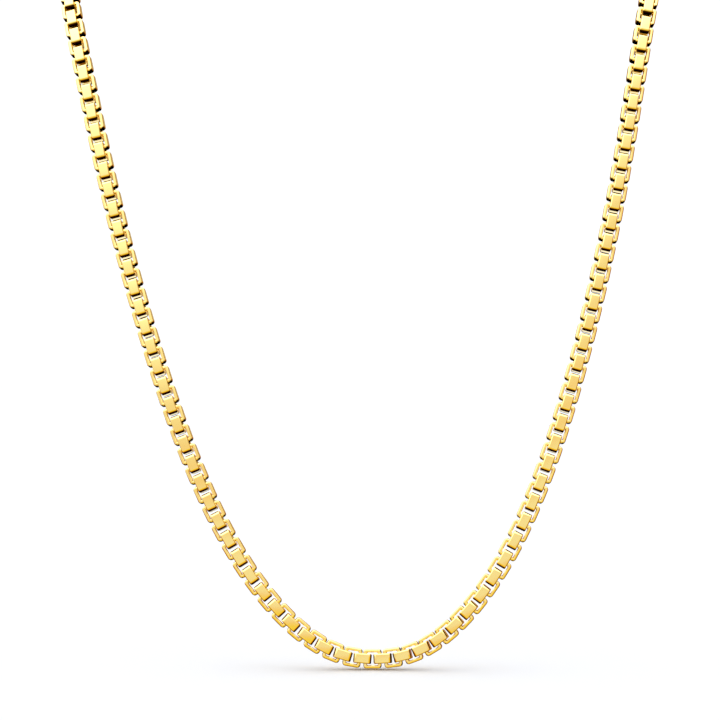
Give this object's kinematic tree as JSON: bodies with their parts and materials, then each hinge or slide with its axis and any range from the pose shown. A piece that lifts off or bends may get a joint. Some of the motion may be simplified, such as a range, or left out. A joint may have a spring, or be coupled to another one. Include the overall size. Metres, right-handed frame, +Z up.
{
  "type": "box chain necklace",
  "caption": "Polished yellow gold box chain of square strip links that interlock at quarter turns, hanging in a deep U and closed at the nape by a plain barrel clasp.",
  "frame": {"origin": "middle of the clasp's inner side, where the necklace rests on the back of the neck", "axes": "+X towards the wearer's left, which is the viewer's right, +Y backward and +Z up"},
  "size_m": [0.1286, 0.0712, 0.1702],
  "materials": {
    "chain_gold": "polished yellow gold",
    "clasp_gold": "polished yellow gold"
  },
  "bodies": {
    "root": {"left_chain": "chain_gold", "right_chain": "chain_gold", "clasp": "clasp_gold"}
  },
  "joints": []
}
